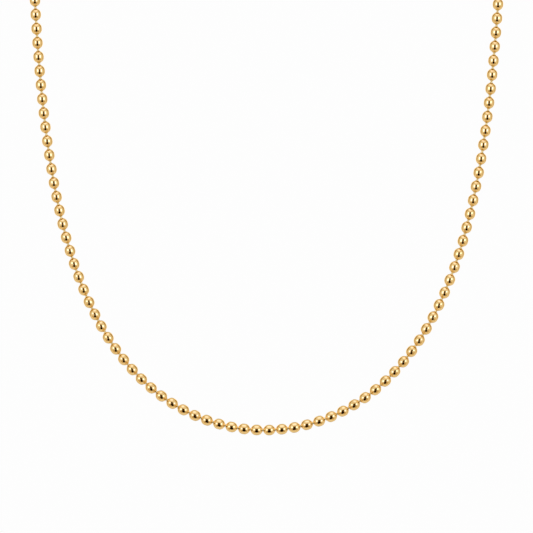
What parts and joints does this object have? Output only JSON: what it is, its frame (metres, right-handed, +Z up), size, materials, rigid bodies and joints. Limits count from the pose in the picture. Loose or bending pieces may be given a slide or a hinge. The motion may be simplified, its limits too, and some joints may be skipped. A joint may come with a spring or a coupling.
{
  "type": "ball chain necklace",
  "caption": "Necklace of round hollow metal beads on short wire links, closed by a sheet-metal connector at the nape; held in the U that it takes when worn.",
  "frame": {"origin": "middle of the neck that the loop hangs on, level with the bend over the shoulders", "axes": "+Z up along the neck, -Y the wearer's front, where the U hangs and leans 20 degrees back from upright, +X to the picture's right"},
  "size_m": [0.1088, 0.1004, 0.1313],
  "materials": {
    "polished_gold": "mirror-polished gold plating",
    "pale_gold": "polished gold-plated wire",
    "clasp_gold": "polished gold-plated sheet"
  },
  "bodies": {
    "root": {"beads": "polished_gold", "links": "pale_gold", "clasp": "clasp_gold"}
  },
  "joints": []
}
